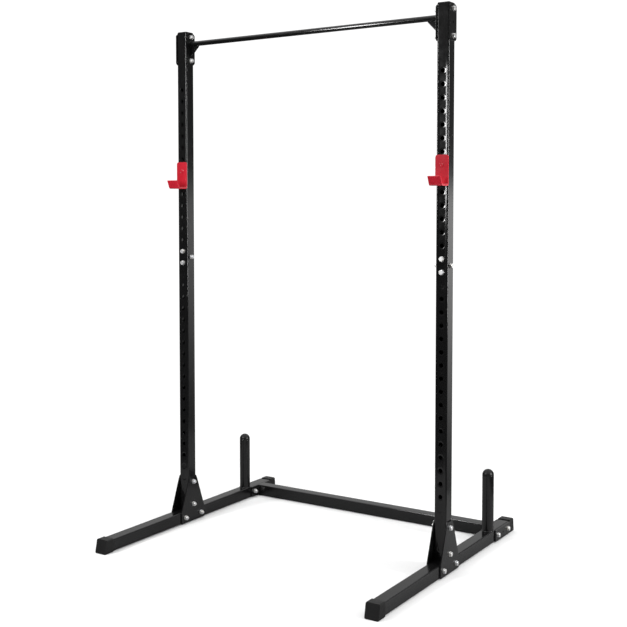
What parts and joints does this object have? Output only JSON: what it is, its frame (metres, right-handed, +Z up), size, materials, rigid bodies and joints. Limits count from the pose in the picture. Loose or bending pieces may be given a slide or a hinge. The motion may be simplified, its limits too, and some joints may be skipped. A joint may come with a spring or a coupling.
{
  "type": "squat rack",
  "caption": "Free-standing squat rack with drilled uprights on base rails, a pull-up bar, pull-out J-hooks that hold a barbell, and storage posts for weight plates.",
  "frame": {"origin": "on the floor, at the centre of the footprint", "axes": "+Z up, -Y is the front with the J-hooks, +X is the right side seen from the front"},
  "size_m": [1.3268, 1.19, 2.15],
  "materials": {
    "black_powder_coat": "semi-gloss powder coat with fine orange peel",
    "red_powder_coat": "gloss red powder coat",
    "zinc_plate": "bright zinc plating",
    "black_plastic": "moulded plastic, satin with fine grain",
    "black_rubber": "moulded rubber, dull"
  },
  "bodies": {
    "rack": {"base_rail_left": "black_powder_coat", "base_rail_right": "black_powder_coat", "front_foot_cap_left": "black_rubber", "front_foot_cap_right": "black_rubber", "rear_foot_cap_left": "black_rubber", "rear_foot_cap_right": "black_rubber", "lower_upright_left": "black_powder_coat", "lower_upright_right": "black_powder_coat", "upper_upright_left": "black_powder_coat", "upper_upright_right": "black_powder_coat", "splice_sleeve_left": "black_powder_coat", "splice_sleeve_right": "black_powder_coat", "upright_cap_left": "black_plastic", "upright_cap_right": "black_plastic", "foot_gusset_outer_left": "black_powder_coat", "foot_gusset_outer_right": "black_powder_coat", "foot_gusset_inner_left": "black_powder_coat", "foot_gusset_inner_right": "black_powder_coat", "rear_crossmember": "black_powder_coat", "crossmember_flange_left": "black_powder_coat", "crossmember_flange_right": "black_powder_coat", "crossmember_backing_left": "black_powder_coat", "crossmember_backing_right": "black_powder_coat", "weight_post_left": "black_powder_coat", "weight_post_right": "black_powder_coat", "post_cap_left": "black_plastic", "post_cap_right": "black_plastic", "pull_up_bar": "black_powder_coat", "bar_end_plate_left": "black_powder_coat", "bar_end_plate_right": "black_powder_coat", "bar_gusset_left": "black_powder_coat", "bar_gusset_right": "black_powder_coat", "bar_backing_left": "black_powder_coat", "bar_backing_right": "black_powder_coat", "bar_bolts": "zinc_plate", "bar_nuts": "zinc_plate", "bar_washers": "zinc_plate", "foot_bolts": "zinc_plate", "foot_nuts": "zinc_plate", "foot_washers": "zinc_plate", "crossmember_bolts": "zinc_plate", "crossmember_nuts": "zinc_plate", "crossmember_washers": "zinc_plate", "splice_bolts": "zinc_plate", "splice_nuts": "zinc_plate", "splice_washers": "zinc_plate"},
    "hook_left": {"j_hook_left": "red_powder_coat", "j_hook_pin_left": "red_powder_coat"},
    "hook_right": {"j_hook_right": "red_powder_coat", "j_hook_pin_right": "red_powder_coat"}
  },
  "joints": [
    {"name": "j_hook_left_pull", "type": "slide", "parent": "rack", "child": "hook_left", "axis": [0, -1, 0], "range_m": [0, 0.08]},
    {"name": "j_hook_right_pull", "type": "slide", "parent": "rack", "child": "hook_right", "axis": [0, -1, 0], "range_m": [0, 0.08]}
  ]
}
